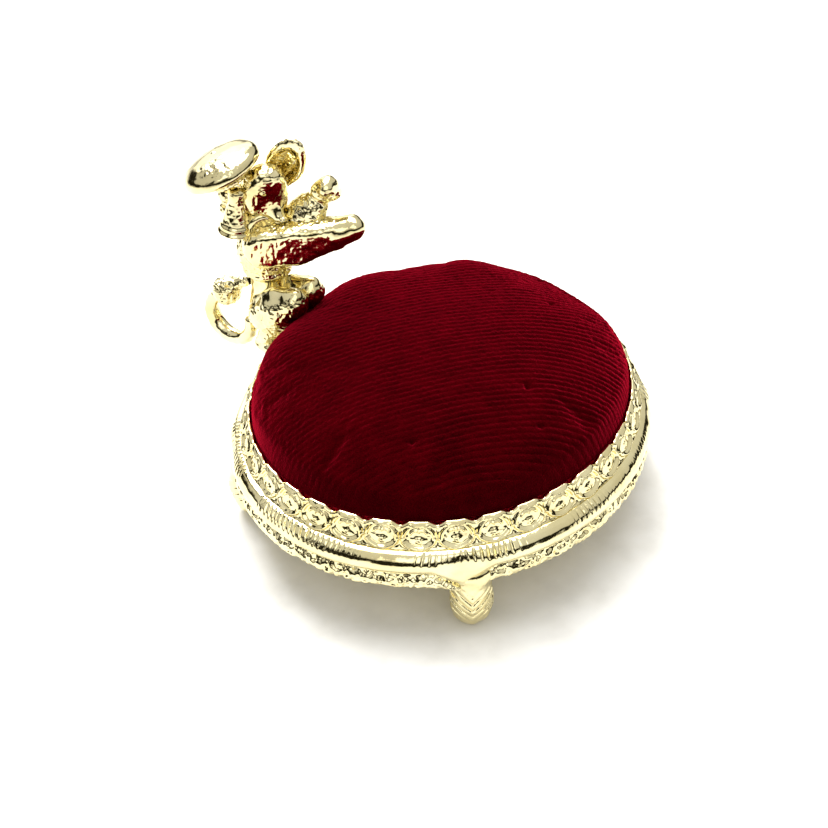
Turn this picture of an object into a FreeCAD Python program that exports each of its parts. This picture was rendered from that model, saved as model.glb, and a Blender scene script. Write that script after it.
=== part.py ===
"""Footed oval pin cushion: a gilt cast stool, a velvet cushion and a begging poodle on its rim.

Millimetres, +Z up, z = 0 on the table. +X runs along the oval's long axis and +Y points at the poodle,
which faces -Y. The origin is the middle of the footprint, so the oval's own centre lies at oval_y.
"""
import FreeCAD, Part
import os

os.makedirs("parts", exist_ok=True)
doc = FreeCAD.newDocument("pin_cushion")

# ---------------------------------------------------------------- driving dimensions

SIZES = {
    # the oval, measured at the ridge of the ring; every other oval is this one drawn in by an inset
    "ridge_long": 33.5, "ridge_short": 30.5, "oval_y": -6.8,
    # ring: the heights of its outline and how far each lies inside the ridge
    "lip_z": 8.7, "lip_inset": 0.9,
    "band_z": 9.1, "band_inset": 0.25,
    "neck_z": 11.3, "neck_inset": 0.75,
    "brow_z": 11.8, "brow_inset": 0.15,
    "ridge_z": 12.8, "ridge_inset": 0.0,
    "shoulder_z": 13.9, "shoulder_inset": 0.6,
    "ring_top": 14.5, "top_inset": 1.75,
    "wall_inset": 2.2, "ledge_inset": 7.0, "ledge_thick": 1.3,
    # gallery: a thin strip that leans inwards
    "gallery_foot": 1.9, "gallery_crest": 3.1, "gallery_top": 18.5, "gallery_thick": 0.5,
    # cushion
    "cushion_inset": 3.75, "cushion_spring": 18.0, "cushion_crown": 8.8, "velvet_thick": 0.6,
    "board_thick": 1.2, "flange_inset": 9.0, "thread_inset": 8.4, "thread_r": 0.25,
    # base plate and its screw
    "plate_thick": 0.6, "plate_gap": 0.1, "bolt_r": 1.2, "bolt_gap": 0.1,
    "bolt_head_r": 2.6, "bolt_head_tall": 1.1, "washer_r": 3.0, "washer_thick": 0.5,
    "nut_r": 2.6, "nut_tall": 1.8, "pocket_gap": 0.2,
    # feet: radius from the oval's centre, height and thickness of each level of the leg
    "foot_angle": 42.3, "sole_out": 29.2, "sole_r": 2.1,
    "ankle_out": 29.3, "ankle_r": 2.0, "ankle_z": 2.4,
    "calf_out": 30.0, "calf_r": 2.6, "calf_z": 5.4,
    "thigh_out": 30.5, "thigh_r": 2.7,
    "knee_out": 31.2, "knee_z": 10.2, "knee_deep": 1.9, "knee_wide": 2.8, "knee_tall": 2.6,
    # the bars between the poodle's balls, as a share of the balls' radii
    "bone_slim": 0.97,
    # beret: half-widths of its band, rim and crown, its two heights and how far its axis leans
    "beret_x": -4.0, "beret_y": 36.1, "beret_z": 43.9, "beret_band_r": 3.4, "beret_r": 6.3,
    "beret_top_r": 4.4, "beret_low": 1.7, "beret_high": 1.3, "beret_tip_right": 0.18, "beret_tip_back": 0.34,
    # tail: a curl round (x, y, z), turned about Z and swept from the rump to its tip
    "tail_x": -2.6, "tail_y": 38.9, "tail_z": 17.2, "tail_curl": 4.0, "tail_r": 1.25,
    "tail_turn": 12.0, "tail_start": 172.0, "tail_sweep": 275.0,
}

# balls of the poodle: centre x, y, z from the oval's centre, and the radius
BALLS = {
    "chest": (-1.0, 31.6, 31.4, 4.3),
    "belly": (-1.0, 31.5, 26.0, 2.7),
    "rump": (-1.0, 32.2, 19.8, 3.6),
    "throat": (-1.0, 31.9, 35.5, 2.6),
    "skull": (-1.0, 31.0, 41.0, 3.7),
    "topknot": (-1.0, 30.2, 43.4, 3.2),
    "nose": (-1.0, 27.2, 39.1, 1.5),
    "nape": (-2.7, 35.3, 40.5, 2.3),
    "ear_root_left": (2.8, 30.2, 39.9, 1.3),
    "ear_tip_left": (3.5, 27.4, 46.9, 2.4),
    "ear_root_right": (-4.7, 33.0, 41.4, 1.2),
    "ear_tip_right": (-5.0, 33.9, 36.9, 2.0),
    "shoulder_right": (-3.2, 29.8, 34.2, 3.2),
    "cuff_right": (3.3, 20.9, 35.8, 2.4),
    "paw_right": (4.5, 19.2, 36.5, 2.3),
    "shoulder_left": (1.6, 29.5, 35.0, 2.4),
    "cuff_left": (3.6, 24.7, 40.1, 1.7),
    "paw_left": (4.1, 23.4, 41.9, 2.1),
    "hip_right": (-3.1, 30.6, 21.2, 3.0),
    "stifle_right": (-3.0, 25.2, 25.2, 2.4),
    "hock_right": (-4.2, 31.5, 15.9, 1.2),
    "toe_right": (-4.3, 29.3, 15.2, 1.1),
    "hip_left": (1.1, 30.6, 21.2, 3.0),
    "stifle_left": (1.0, 25.2, 25.2, 2.4),
    "hock_left": (2.2, 31.5, 15.9, 1.2),
    "toe_left": (2.3, 29.3, 15.2, 1.1),
    "tuft": (-3.0, 38.7, 22.4, 2.4),
}
BALL_FIELDS = ("x", "y", "z", "r")

sheet = doc.addObject("Spreadsheet::Sheet", "Sheet")


def fill_sheet():
    """One row per dimension: its name in column A and its value, with that alias, in column B."""
    rows = dict(SIZES)
    for ball_name, values in BALLS.items():
        for field, value in zip(BALL_FIELDS, values):
            rows[ball_name + "_" + field] = value
    for row, (alias, value) in enumerate(rows.items(), start=1):
        sheet.set("A%d" % row, alias)
        sheet.set("B%d" % row, str(value))
        sheet.setAlias("B%d" % row, alias)
    doc.recompute()


def S(text):
    """An expression over the sheet: every alias in the text is written as @alias."""
    return text.replace("@", "Sheet.")


# ---------------------------------------------------------------- shared builders


def bind(obj, **formulas):
    """Bind properties to sheet formulas; x, y and z are the parts of the Placement."""
    for name, text in formulas.items():
        path = ".Placement.Base." + name if name in "xyz" else name
        obj.setExpression(path, S(text))
    return obj


def oval(name, inset, height):
    """An oval outline, drawn in from the ridge by the inset, lying at the given height."""
    edge = doc.addObject("Part::Ellipse", name)
    bind(edge, MajorRadius="@ridge_long - (%s)" % inset, MinorRadius="@ridge_short - (%s)" % inset)
    return bind(edge, y="@oval_y", z=height)


def loft(name, sections, ruled):
    body = doc.addObject("Part::Loft", name)
    body.Sections = sections
    body.Solid = True
    body.Ruled = ruled
    return body


def plate(name, inset, bottom, top):
    """A flat oval slab between two heights."""
    return loft(name, [oval(name + "_a", inset, bottom), oval(name + "_b", inset, top)], True)


def cylinder(name, radius, bottom, height, x="0", y="0"):
    rod = doc.addObject("Part::Cylinder", name)
    return bind(rod, Radius=radius, Height=height, x=x, y="@oval_y + (%s)" % y, z=bottom)


def ball(name):
    """One ball of the poodle, from its row of the sheet."""
    sphere = doc.addObject("Part::Sphere", name)
    bind(sphere, Radius="@%s_r" % name)
    return bind(sphere, x="@%s_x" % name, y="@oval_y + @%s_y" % name, z="@%s_z" % name)


def bone(first, second):
    """The tapered bar between two balls, a little slimmer than they are."""
    bar = doc.addObject("Part::Cone", "%s_to_%s" % (first, second))
    steps = ["(@%s_%s - @%s_%s) ^ 2" % (second, axis, first, axis) for axis in "xyz"]
    bind(bar, Radius1="@%s_r * @bone_slim" % first, Radius2="@%s_r * @bone_slim" % second)
    bind(bar, Height="sqrt(%s)" % " + ".join(steps))
    bind(bar, x="@%s_x" % first, y="@oval_y + @%s_y" % first, z="@%s_z" % first)
    span = FreeCAD.Vector(*BALLS[second][:3]) - FreeCAD.Vector(*BALLS[first][:3])
    bar.Placement.Rotation = FreeCAD.Rotation(FreeCAD.Vector(0, 0, 1), span)
    return bar


def fuse(name, shapes):
    joined = doc.addObject("Part::MultiFuse", name)
    joined.Shapes = shapes
    joined.Refine = False
    return joined


def limb(name, *joints):
    """Balls joined in a chain by bones."""
    pieces = [ball(joint) for joint in joints]
    pieces += [bone(first, second) for first, second in zip(joints, joints[1:])]
    return fuse(name, pieces)


def cut(name, base, *tools):
    """The base with each tool taken away in turn."""
    for number, tool in enumerate(tools):
        step = doc.addObject("Part::Cut", "%s_cut%d" % (name, number))
        step.Base = base
        step.Tool = tool
        base = step
    return base


# ---------------------------------------------------------------- stool


def make_ring():
    """The cast ring: lip, stippled band, undercut neck, fluted shoulder, and a ledge inside."""
    levels = ("lip", "band", "neck", "brow", "ridge", "shoulder")
    outline = [oval("ring_" + n, "@%s_inset" % n, "@%s_z" % n) for n in levels]
    outline.append(oval("ring_crown", "@top_inset", "@ring_top"))
    solid = loft("ring_solid", outline, True)
    hollow = plate("ring_hollow", "@wall_inset", "@lip_z - 1", "@ring_top - @ledge_thick")
    window = plate("ring_window", "@ledge_inset", "@lip_z - 1", "@ring_top + 1")
    return cut("ring", solid, hollow, window)


def make_gallery():
    """The pressed strip that stands on the ring and leans in over the cushion's edge."""
    outer = [
        oval("gallery_o1", "@gallery_foot", "@ring_top"),
        oval("gallery_o2", "@gallery_crest", "@gallery_top"),
    ]
    inner = [
        oval("gallery_i1", "@gallery_foot + @gallery_thick", "@ring_top"),
        oval("gallery_i2", "@gallery_crest + @gallery_thick", "@gallery_top"),
    ]
    return cut("gallery", loft("gallery_outer", outer, True), loft("gallery_inner", inner, True))


def make_foot(name, turn):
    """A short cabriole leg: a level sole, a thin ankle, a calf and a knee that laps the band."""
    levels = (("sole", "0"), ("ankle", "@ankle_z"), ("calf", "@calf_z"), ("thigh", "@lip_z + 0.5"))
    rings = []
    for level, height in levels:
        edge = doc.addObject("Part::Circle", "%s_%s" % (name, level))
        east = "@%s_out * cos(%s)" % (level, turn)
        north = "@oval_y + @%s_out * sin(%s)" % (level, turn)
        rings.append(bind(edge, Radius="@%s_r" % level, x=east, y=north, z=height))
    knee = doc.addObject("Part::Ellipsoid", name + "_knee")
    bind(knee, Radius1="@knee_tall", Radius2="@knee_deep", Radius3="@knee_wide")
    bind(knee, x="@knee_out * cos(%s)" % turn, y="@oval_y + @knee_out * sin(%s)" % turn, z="@knee_z")
    knee.setExpression(".Placement.Rotation.Angle", S(turn))
    return fuse(name + "_solid", [loft(name + "_leg", rings, False), knee])


# ---------------------------------------------------------------- cushion

CROWN_STEPS = (0.0, 0.3, 0.55, 0.75, 0.88, 0.96, 0.995)
CROWN_POWER = 2.5


def dome(name, inset, bottom, crown):
    """A cushion form: upright sides to the spring line, then a full superelliptic crown."""
    sections = [oval(name + "_base", inset, bottom)]
    for number, rise in enumerate(CROWN_STEPS):
        reach = (1 - rise ** CROWN_POWER) ** (1 / CROWN_POWER)
        edge = doc.addObject("Part::Ellipse", "%s_%d" % (name, number))
        bind(edge, MajorRadius="(@ridge_long - (%s)) * %.6f" % (inset, reach))
        bind(edge, MinorRadius="(@ridge_short - (%s)) * %.6f" % (inset, reach))
        sections.append(bind(edge, y="@oval_y", z="@cushion_spring + (%s) * %.4f" % (crown, rise)))
    return loft(name, sections, True)


def make_cushion():
    """Cover, stuffing, board and gathering thread, with the pocket for the screw's nut."""
    board_top = "@ring_top + @velvet_thick + @board_thick"
    inner_inset = "@cushion_inset + @velvet_thick"
    envelope = dome("cover_outer", "@cushion_inset", "@ring_top", "@cushion_crown")
    core = dome("core", inner_inset, "@ring_top + @velvet_thick", "@cushion_crown - @velvet_thick")
    mouth = plate("cover_mouth", "@flange_inset", "@ring_top - 1", "@ring_top + @velvet_thick")
    cover = cut("cover", envelope, core, mouth)
    slab = plate("board_slab", inner_inset, "@ring_top + @velvet_thick", board_top)
    drill = cylinder("board_drill", "@bolt_r + @bolt_gap", "@ring_top", "@board_thick + 2")
    board = cut("board", slab, drill)
    pad = dome("pad", inner_inset, board_top, "@cushion_crown - @velvet_thick")
    tall = "@washer_thick + @nut_tall + @pocket_gap"
    pocket = cylinder("pad_pocket", "@washer_r + @pocket_gap", board_top, tall)
    stuffing = cut("stuffing", pad, pocket)
    return cover, stuffing, board, envelope


def make_thread():
    """The drawn gathering thread that rings the mouth of the cover."""
    path = oval("thread_path", "@thread_inset", "@ring_top - @thread_r")
    profile = doc.addObject("Part::Circle", "thread_profile")
    bind(profile, Radius="@thread_r", x="@ridge_long - @thread_inset")
    bind(profile, y="@oval_y", z="@ring_top - @thread_r")
    profile.Placement.Rotation = FreeCAD.Rotation(FreeCAD.Vector(1, 0, 0), 90)
    thread = doc.addObject("Part::Sweep", "thread_solid")
    thread.Sections = [profile]
    thread.Spine = (path, ["Edge1"])
    thread.Solid = True
    thread.Frenet = True
    return thread


def make_fixing():
    """Base plate under the ledge, with the screw, washer and nut that draw the board down."""
    plate_top = "@ring_top - @ledge_thick"
    plate_low = plate_top + " - @plate_thick"
    board_top = "@ring_top + @velvet_thick + @board_thick"
    sheet_metal = plate("base_slab", "@wall_inset + @plate_gap", plate_low, plate_top)
    base = cut("base", sheet_metal, cylinder("base_drill", "@bolt_r + @bolt_gap", plate_low, "2 * @plate_thick"))
    head = cylinder("bolt_head", "@bolt_head_r", plate_low + " - @bolt_head_tall", "@bolt_head_tall")
    tall = "%s + @washer_thick + @nut_tall - (%s)" % (board_top, plate_low)
    bolt = fuse("bolt", [head, cylinder("bolt_shank", "@bolt_r", plate_low, tall)])
    disc = cylinder("washer_disc", "@washer_r", board_top, "@washer_thick")
    washer = cut("washer", disc, cylinder("washer_drill", "@bolt_r + @bolt_gap", board_top, "@washer_thick"))
    hexagon = doc.addObject("Part::Prism", "nut_hexagon")
    hexagon.Polygon = 6
    nut_low = board_top + " + @washer_thick"
    bind(hexagon, Circumradius="@nut_r", Height="@nut_tall", y="@oval_y", z=nut_low)
    nut = cut("nut", hexagon, cylinder("nut_drill", "@bolt_r", nut_low, "@nut_tall"))
    return base, bolt, washer, nut


# ---------------------------------------------------------------- poodle


def make_torso():
    """Throat, chest, waist and rump in one chain."""
    return limb("torso", "throat", "chest", "belly", "rump")


def make_head(torso):
    """Skull, topknot, muzzle and nape curl in one piece, seated on the torso's throat."""
    skull = limb("crown", "skull", "topknot")
    extras = [ball("nose"), bone("skull", "nose"), ball("nape")]
    return cut("head", fuse("head_solid", [skull] + extras), torso)


def make_beret(head):
    """A flat cap: two shallow cones base to base, tipped back and over the right ear."""
    lower = doc.addObject("Part::Cone", "beret_lower")
    upper = doc.addObject("Part::Cone", "beret_upper")
    bind(lower, Radius1="@beret_band_r", Radius2="@beret_r", Height="@beret_low")
    bind(upper, Radius1="@beret_r", Radius2="@beret_top_r", Height="@beret_high", z="@beret_low")
    cap = fuse("beret_solid", [lower, upper])
    tip = FreeCAD.Vector(-SIZES["beret_tip_right"], SIZES["beret_tip_back"], 1)
    cap.Placement.Rotation = FreeCAD.Rotation(FreeCAD.Vector(0, 0, 1), tip)
    bind(cap, x="@beret_x", y="@oval_y + @beret_y", z="@beret_z")
    return cut("beret", cap, head)


def make_foreleg(side):
    """Shoulder, cuff and paw in one chain."""
    return limb("foreleg_chain_" + side, *[joint + "_" + side for joint in ("shoulder", "cuff", "paw")])


def make_hind_leg(side):
    """Thigh, shank and foot; the foot is soldered on the ring's shoulder."""
    return limb("hind_chain_" + side, *[joint + "_" + side for joint in ("stifle", "hip", "hock", "toe")])


def make_tail():
    """The tail's curl: an open ring in an upright plane, from the rump round to the pompom."""
    curl = doc.addObject("Part::Torus", "tail_curl_ring")
    bind(curl, Radius1="@tail_curl", Radius2="@tail_r", Angle3="@tail_sweep")
    north = FreeCAD.Vector(0, 1, 0)
    up = FreeCAD.Vector(0, 0, 1)
    east = FreeCAD.Vector(1, 0, 0)
    upright = FreeCAD.Rotation(north, up, east, "XYZ")
    swing = FreeCAD.Rotation(up, SIZES["tail_turn"])
    begin = FreeCAD.Rotation(up, SIZES["tail_start"])
    curl.Placement.Rotation = swing * upright * begin
    return bind(curl, x="@tail_x", y="@oval_y + @tail_y", z="@tail_z")


# ---------------------------------------------------------------- assembly

FEET = {
    "foot_back_right": "@foot_angle",
    "foot_back_left": "180 - @foot_angle",
    "foot_front_left": "180 + @foot_angle",
    "foot_front_right": "-@foot_angle",
}


def build():
    """Every sub-part by name; a piece that seats on others has them cut away from it."""
    ring = make_ring()
    gallery = make_gallery()
    cover, stuffing, board, envelope = make_cushion()
    base, bolt, washer, nut = make_fixing()
    torso = make_torso()
    head = make_head(torso)
    beret = make_beret(head)
    leg_right = cut("leg_right", make_hind_leg("right"), torso, ring, gallery, envelope)
    leg_left = cut("leg_left", make_hind_leg("left"), torso, ring, gallery, envelope, leg_right)
    tail = cut("curl", make_tail(), torso, leg_right)
    flap = limb("ear_right_solid", "ear_root_right", "ear_tip_right")
    ear_hanging = cut("ear_right", flap, head, beret, torso)
    foreleg_right = cut("foreleg_r", make_foreleg("right"), torso, head, ear_hanging)
    foreleg_left = cut("foreleg_l", make_foreleg("left"), torso, head, foreleg_right)
    parts = {
        "stool_ring": ring,
        "gallery_band": gallery,
        "velvet_cover": cover,
        "cushion_stuffing": stuffing,
        "cushion_board": board,
        "gathering_thread": make_thread(),
        "base_plate": base,
        "centre_screw": bolt,
        "screw_washer": washer,
        "screw_nut": nut,
        "poodle_torso": torso,
        "poodle_head": head,
        "poodle_beret": beret,
        "ear_raised": cut("ear_left", limb("ear_left_solid", "ear_root_left", "ear_tip_left"), head),
        "ear_hanging": ear_hanging,
        "foreleg_right": foreleg_right,
        "foreleg_left": foreleg_left,
        "hind_leg_right": leg_right,
        "hind_leg_left": leg_left,
        "tail_curl": tail,
        "tail_pompom": cut("pompom", ball("tuft"), tail, torso),
    }
    for name, turn in FEET.items():
        parts[name] = cut(name + "_cut", make_foot(name, turn), ring, base)
    return parts


def check(parts):
    """Stop unless every object was rebuilt and every sub-part is a sound solid."""
    for obj in doc.Objects:
        if "Invalid" in obj.State or "Error" in obj.State:
            raise RuntimeError("%s failed to build: %s" % (obj.Name, obj.State))
    for name, obj in parts.items():
        if obj.Shape.isNull() or not obj.Shape.isValid() or not obj.Shape.Solids:
            raise RuntimeError("%s has no valid solid" % name)


fill_sheet()
PARTS = build()
for part_name, part_object in PARTS.items():
    part_object.Label = part_name
doc.recompute()
check(PARTS)
for part_name, part_object in PARTS.items():
    part_object.Shape.exportStep("parts/%s.step" % part_name)
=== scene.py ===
"""Looks of the footstool pin cushion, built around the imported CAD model.

Numbers are millimetres and degrees, apart from the floor, lights and world, which are in metres, and the
shares that a comment calls so. Each mesh is made about the middle of the oval stool, with z up from the
table, and mesh_piece() moves it into the shared frame.
"""
import itertools
import math

import bpy
import numpy as np
from mathutils import Matrix, Vector


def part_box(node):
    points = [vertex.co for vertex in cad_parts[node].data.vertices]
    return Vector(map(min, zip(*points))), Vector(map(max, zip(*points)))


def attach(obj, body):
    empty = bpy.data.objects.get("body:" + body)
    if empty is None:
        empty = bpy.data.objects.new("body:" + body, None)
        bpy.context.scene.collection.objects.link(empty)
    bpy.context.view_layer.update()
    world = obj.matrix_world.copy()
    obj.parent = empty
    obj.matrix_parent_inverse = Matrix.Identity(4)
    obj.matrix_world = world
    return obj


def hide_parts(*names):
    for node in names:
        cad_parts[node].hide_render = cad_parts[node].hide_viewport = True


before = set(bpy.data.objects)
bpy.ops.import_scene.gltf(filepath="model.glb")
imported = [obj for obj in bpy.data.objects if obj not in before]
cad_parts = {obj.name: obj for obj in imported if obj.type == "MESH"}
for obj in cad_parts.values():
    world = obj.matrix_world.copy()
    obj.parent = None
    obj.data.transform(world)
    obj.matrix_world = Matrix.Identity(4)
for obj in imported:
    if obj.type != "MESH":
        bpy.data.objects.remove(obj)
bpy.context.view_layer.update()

MM = 0.001


# ---------------------------------------------------------------- places read from the CAD
def box_mm(node):
    """Lowest and highest corner of a CAD node."""
    low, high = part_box(node)
    return np.array(low) / MM, np.array(high) / MM


ring_low, ring_high = box_mm("stool_ring")
gallery_low, gallery_high = box_mm("gallery_band")
COVER_TOP_Z = box_mm("velvet_cover")[1][2]
BOARD_Z = box_mm("cushion_board")[0][2]          # undersides of the board and of the wadding
STUFFING_Z = box_mm("cushion_stuffing")[0][2]

CENTRE = (ring_low + ring_high) / 2          # middle of the oval
LONG = (ring_high[0] - ring_low[0]) / 2      # half axes of the oval
SHORT = (ring_high[1] - ring_low[1]) / 2
# where each foot stands, in degrees round the oval from +X
FOOT_TURNS = {"foot_back_right": 42.3, "foot_back_left": 137.7, "foot_front_left": 222.3,
              "foot_front_right": 317.7}


# ---------------------------------------------------------------- noise
LATTICE = 32
VALUES = np.random.RandomState(11).uniform(-1, 1, (LATTICE,) * 3)


def lumps(points, size, shift=0.0):
    """Smooth random values between -1 and 1, in lumps of about the given size."""
    places = points / size + shift
    cell = np.floor(places).astype(int)
    part = places - cell
    part = part * part * (3 - 2 * part)
    total = np.zeros(points.shape[:-1])
    for corner in itertools.product((0, 1), repeat=3):
        weight = np.ones(points.shape[:-1])
        for axis in range(3):
            weight = weight * (part[..., axis] if corner[axis] else 1 - part[..., axis])
        index = (cell + corner) % LATTICE
        total += weight * VALUES[index[..., 0], index[..., 1], index[..., 2]]
    return total


def curls(points, size):
    """Close-packed little mounds with sharp creases between them, like a stippled coat."""
    first = np.abs(lumps(points, size))
    second = np.abs(lumps(points, size * 0.62, 5.3))
    return 1 - 1.6 * first - 0.9 * second


def step_up(value, start, end):
    """0 before start, 1 after end, smooth between."""
    part = np.clip((value - start) / (end - start), 0, 1)
    return part * part * (3 - 2 * part)


def bump(value, middle, half_width):
    """1 at the middle, falling smoothly to 0 at half_width from it."""
    part = np.clip(1 - np.abs(value - middle) / half_width, 0, 1)
    return part * part * (3 - 2 * part)


# ---------------------------------------------------------------- meshes
def mesh_piece(name, points, faces, node, material):
    """A smooth-shaded mesh piece that stands for a CAD node. Points are about the oval's centre."""
    placed = (np.asarray(points, float) + [CENTRE[0], CENTRE[1], 0]) * MM
    corners = faces.tolist() if isinstance(faces, np.ndarray) else faces
    mesh = bpy.data.meshes.new(name)
    mesh.from_pydata(placed.tolist(), [], corners)
    mesh.validate()
    mesh.polygons.foreach_set("use_smooth", [True] * len(mesh.polygons))
    piece = bpy.data.objects.new(name, mesh)
    bpy.context.scene.collection.objects.link(piece)
    piece.data.materials.append(material)
    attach(piece, "root")
    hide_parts(node)
    return piece


def grid_faces(rows, columns, close_rows):
    """Quads of a grid that closes round its columns, and round its rows too if close_rows."""
    row, column = np.meshgrid(np.arange(rows if close_rows else rows - 1), np.arange(columns),
                              indexing="ij")
    next_row, next_column = (row + 1) % rows, (column + 1) % columns
    corners = [row * columns + column, row * columns + next_column,
               next_row * columns + next_column, next_row * columns + column]
    return np.stack(corners, -1).reshape(-1, 4)


def surface_net(field, low, step):
    """Points and quads of the surface where a grid of signed distances is zero."""
    inside = field < 0
    shape = np.array(field.shape)
    count = sum(inside[i:shape[0] - 1 + i, j:shape[1] - 1 + j, k:shape[2] - 1 + k].astype(int)
                for i, j, k in itertools.product((0, 1), repeat=3))
    active = (count > 0) & (count < 8)
    cells = np.argwhere(active)
    number = np.full(active.shape, -1)
    number[active] = np.arange(len(cells))
    total = np.zeros((len(cells), 3))
    crossings = np.zeros(len(cells))
    for axis in range(3):
        along = np.eye(3, dtype=int)[axis]
        for offset in itertools.product((0, 1), repeat=3):
            if offset[axis]:
                continue
            first = field[tuple((cells + offset).T)]
            second = field[tuple((cells + offset + along).T)]
            crosses = (first < 0) != (second < 0)
            share = np.where(crosses, first / np.where(crosses, first - second, 1), 0)
            total += crosses[:, None] * (np.array(offset) + share[:, None] * along)
            crossings += crosses
    points = np.array(low) + step * (cells + total / crossings[:, None])
    faces = []
    for axis in range(3):
        along = np.eye(3, dtype=int)[axis]
        u, v = np.eye(3, dtype=int)[(axis + 1) % 3], np.eye(3, dtype=int)[(axis + 2) % 3]
        here = inside[1:-1, 1:-1, 1:-1]
        there = inside[tuple(slice(1 + along[i], shape[i] - 1 + along[i]) for i in range(3))]
        places = np.argwhere(here != there) + 1
        quad = np.stack([number[tuple((places - back).T)] for back in (0 * u, u, u + v, v)], -1)
        starts_inside = inside[tuple(places.T)]
        quad[~starts_inside] = quad[~starts_inside][:, ::-1]
        faces.append(quad)
    return points, np.concatenate(faces)


def sculpt(shape, low, high, step):
    """Points and faces of a shape given as a function from points to signed distance."""
    axes = [np.arange(low[i], high[i] + step, step) for i in range(3)]
    places = np.stack(np.meshgrid(*axes, indexing="ij"), -1)
    return surface_net(shape(places), low, step)


# ---------------------------------------------------------------- signed distances
def unit(vector):
    return np.array(vector, float) / np.linalg.norm(vector)


def ball(points, centre, radius):
    return np.linalg.norm(points - np.array(centre), axis=-1) - radius


def limb(points, start, end, start_r, end_r):
    """A bar with round ends whose radius changes from start to end."""
    start, end = np.array(start, float), np.array(end, float)
    share = np.clip((points - start) @ (end - start) / ((end - start) @ (end - start)), 0, 1)
    nearest = start + share[..., None] * (end - start)
    return np.linalg.norm(points - nearest, axis=-1) - (start_r + (end_r - start_r) * share)


def egg(points, centre, radii):
    """An ellipsoid, with radii along x, y and z."""
    local = points - np.array(centre)
    first = np.linalg.norm(local / radii, axis=-1)
    second = np.linalg.norm(local / np.square(radii), axis=-1)
    return first * (first - 1) / np.maximum(second, 1e-6)


def join(first, second, soft=0.6):
    """Two shapes as one, with a fillet about as wide as soft."""
    share = np.clip(0.5 + 0.5 * (second - first) / soft, 0, 1)
    return second * (1 - share) + first * share - soft * share * (1 - share)


def carve(body, tool, soft=0.3):
    """The part of a body that lies inside the tool, with its new edges rounded."""
    return -join(-body, tool, soft)


def chain(points, joints, soft=0.5):
    """Bars joined through (x, y, z, radius) joints."""
    total = None
    for first, second in zip(joints, joints[1:]):
        bar = limb(points, first[:3], second[:3], first[3], second[3])
        total = bar if total is None else join(total, bar, soft)
    return total


# ---------------------------------------------------------------- materials
def node_tree(name):
    """A new material with its node tree and its shader."""
    material = bpy.data.materials.new(name)
    material.use_nodes = True
    tree = material.node_tree
    return material, tree, tree.nodes["Principled BSDF"]


def add(tree, kind, **values):
    """A new node, with each value set on its input of that name or, failing that, on the node."""
    node = tree.nodes.new(kind)
    for key, value in values.items():
        if key in node.inputs:
            node.inputs[key].default_value = value
        else:
            setattr(node, key, value)
    return node


def ramp(tree, source, stops):
    """A colour ramp on a source socket, from (place, colour) stops."""
    node = tree.nodes.new("ShaderNodeValToRGB")
    while len(node.color_ramp.elements) < len(stops):
        node.color_ramp.elements.new(0.5)
    for element, (place, colour) in zip(node.color_ramp.elements, stops):
        element.position = place
        element.color = (*colour, 1)
    tree.links.new(source, node.inputs["Fac"])
    return node


def noise_node(tree, scale, detail=3.0):
    """Noise in the object's own coordinates, which are metres."""
    coordinates = tree.nodes.new("ShaderNodeTexCoord")
    node = add(tree, "ShaderNodeTexNoise", Scale=scale, Detail=detail)
    tree.links.new(coordinates.outputs["Object"], node.inputs["Vector"])
    return node


def metal_material(name, pale, deep, roughness, grain=1500.0, bump_depth=0.00004):
    """Plated metal: colour drifts between pale and deep, with a fine uneven polish."""
    material, tree, shader = node_tree(name)
    shader.inputs["Metallic"].default_value = 1.0
    drift = noise_node(tree, grain * 0.12)
    tone = ramp(tree, drift.outputs["Fac"], [(0.3, deep), (0.62, pale)])
    tree.links.new(tone.outputs["Color"], shader.inputs["Base Color"])
    polish = noise_node(tree, grain)
    spread = add(tree, "ShaderNodeMapRange")
    spread.inputs["To Min"].default_value = roughness * 0.6
    spread.inputs["To Max"].default_value = roughness * 1.5
    tree.links.new(polish.outputs["Fac"], spread.inputs["Value"])
    tree.links.new(spread.outputs["Result"], shader.inputs["Roughness"])
    height = add(tree, "ShaderNodeBump", Strength=0.5, Distance=bump_depth)
    tree.links.new(polish.outputs["Fac"], height.inputs["Height"])
    tree.links.new(height.outputs["Normal"], shader.inputs["Normal"])
    return material


def velvet_material(name):
    """Crimson pile: dark looking into it, brighter at a grazing angle, mottled where it is brushed."""
    material, tree, shader = node_tree(name)
    brushed = noise_node(tree, 260.0, 4.0)
    fibres = noise_node(tree, 5200.0, 2.0)
    mixed = add(tree, "ShaderNodeMath", operation="MULTIPLY_ADD")
    mixed.inputs[1].default_value = 0.55
    tree.links.new(fibres.outputs["Fac"], mixed.inputs[0])
    half = add(tree, "ShaderNodeMath", operation="MULTIPLY")
    half.inputs[1].default_value = 0.45
    tree.links.new(brushed.outputs["Fac"], half.inputs[0])
    tree.links.new(half.outputs["Value"], mixed.inputs[2])
    pile = ramp(tree, mixed.outputs["Value"], [(0.3, (0.010, 0.0, 0.0003)), (0.7, (0.050, 0.0, 0.0012))])
    tree.links.new(pile.outputs["Color"], shader.inputs["Base Color"])
    shader.inputs["Roughness"].default_value = 1.0
    shader.inputs["Specular IOR Level"].default_value = 0.0
    shader.inputs["Sheen Weight"].default_value = 1.0
    shader.inputs["Sheen Roughness"].default_value = 0.36
    shader.inputs["Sheen Tint"].default_value = (0.80, 0.012, 0.045, 1)
    height = add(tree, "ShaderNodeBump", Strength=0.7, Distance=0.0002)
    tree.links.new(fibres.outputs["Fac"], height.inputs["Height"])
    tree.links.new(height.outputs["Normal"], shader.inputs["Normal"])
    return material


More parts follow.
